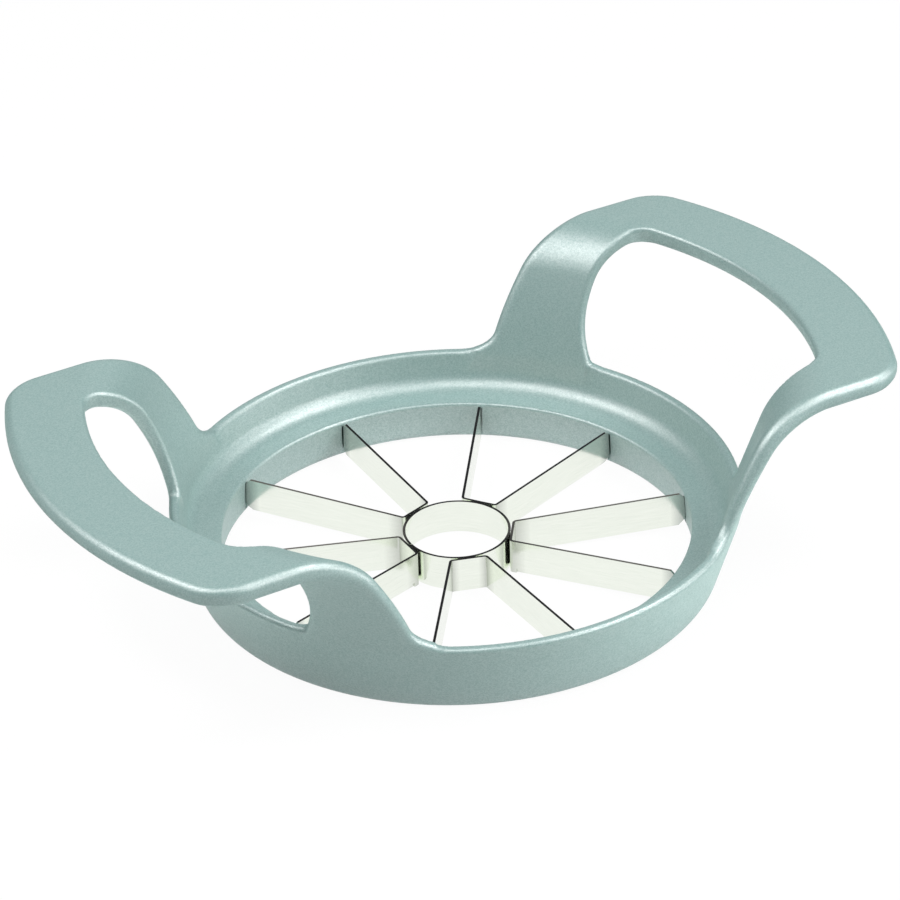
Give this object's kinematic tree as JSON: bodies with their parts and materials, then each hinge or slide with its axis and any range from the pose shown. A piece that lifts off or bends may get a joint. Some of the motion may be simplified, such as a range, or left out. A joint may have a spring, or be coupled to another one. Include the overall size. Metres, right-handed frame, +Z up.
{
  "type": "apple slicer",
  "caption": "Apple slicer: a cast ring with a raised loop handle on each side, thin radial blades and a round corer in the middle.",
  "frame": {"origin": "on the table, under the centre of the ring, which is the middle of the bounding box", "axes": "+X along the line through the handles, +Y across it, +Z up, away from the cutting edges"},
  "size_m": [0.165, 0.1076, 0.0402],
  "materials": {
    "cast_frame": "cast aluminium in satin silver-grey metallic paint with a fine sparkle",
    "blade_steel": "bright stainless strip, lightly brushed"
  },
  "bodies": {
    "root": {"cast_frame": "cast_frame", "blade_strip_1": "blade_steel", "blade_strip_2": "blade_steel", "blade_strip_3": "blade_steel", "blade_strip_4": "blade_steel", "blade_strip_5": "blade_steel", "corer_ring": "blade_steel"}
  },
  "joints": []
}
